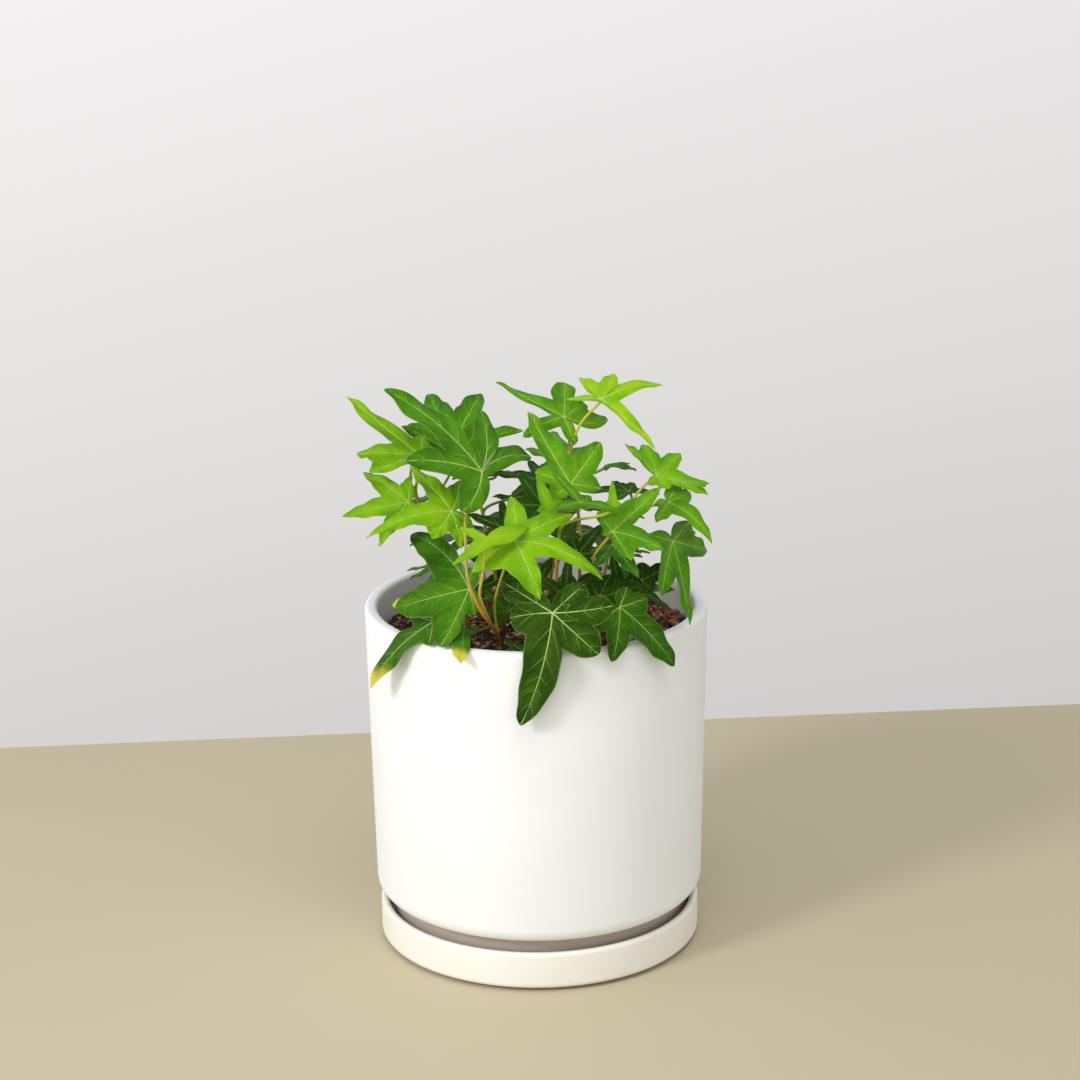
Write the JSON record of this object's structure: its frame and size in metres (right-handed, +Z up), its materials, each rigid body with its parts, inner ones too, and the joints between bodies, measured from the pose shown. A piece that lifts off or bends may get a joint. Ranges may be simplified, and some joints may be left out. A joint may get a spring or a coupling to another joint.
{
  "type": "potted ivy plant",
  "caption": "Bushy ivy of pointed lobed leaves, rooted in bark soil in a straight round ceramic pot with a recessed foot, standing on a shallow round saucer.",
  "frame": {"origin": "centre of the saucer's flat underside, on the pot's axis, where the plant stands", "axes": "+Z up along the pot's axis; -Y to the side that the plant shows best; +X to the right of who looks at that side"},
  "size_m": [0.1351, 0.1456, 0.2223],
  "materials": {
    "pot": "matte white ceramic with a fine even grain",
    "saucer": "matte cream white ceramic",
    "soil": null,
    "leaf_lime": null,
    "leaf_mid": null,
    "leaf_dark": null
  },
  "bodies": {
    "root": {"saucer": "saucer", "pot": "pot", "soil": "soil", "shoot_front": "leaf_lime", "shoot_left": "leaf_lime", "shoot_right": "leaf_lime", "shoot_mid_left": "leaf_mid", "shoot_top": "leaf_mid", "shoot_centre": "leaf_mid", "shoot_right_front": "leaf_mid", "shoot_back_left": "leaf_mid", "shoot_back_right": "leaf_mid", "shoot_low_left": "leaf_dark", "shoot_low_right": "leaf_dark", "shoot_back_low": "leaf_dark"}
  },
  "joints": []
}
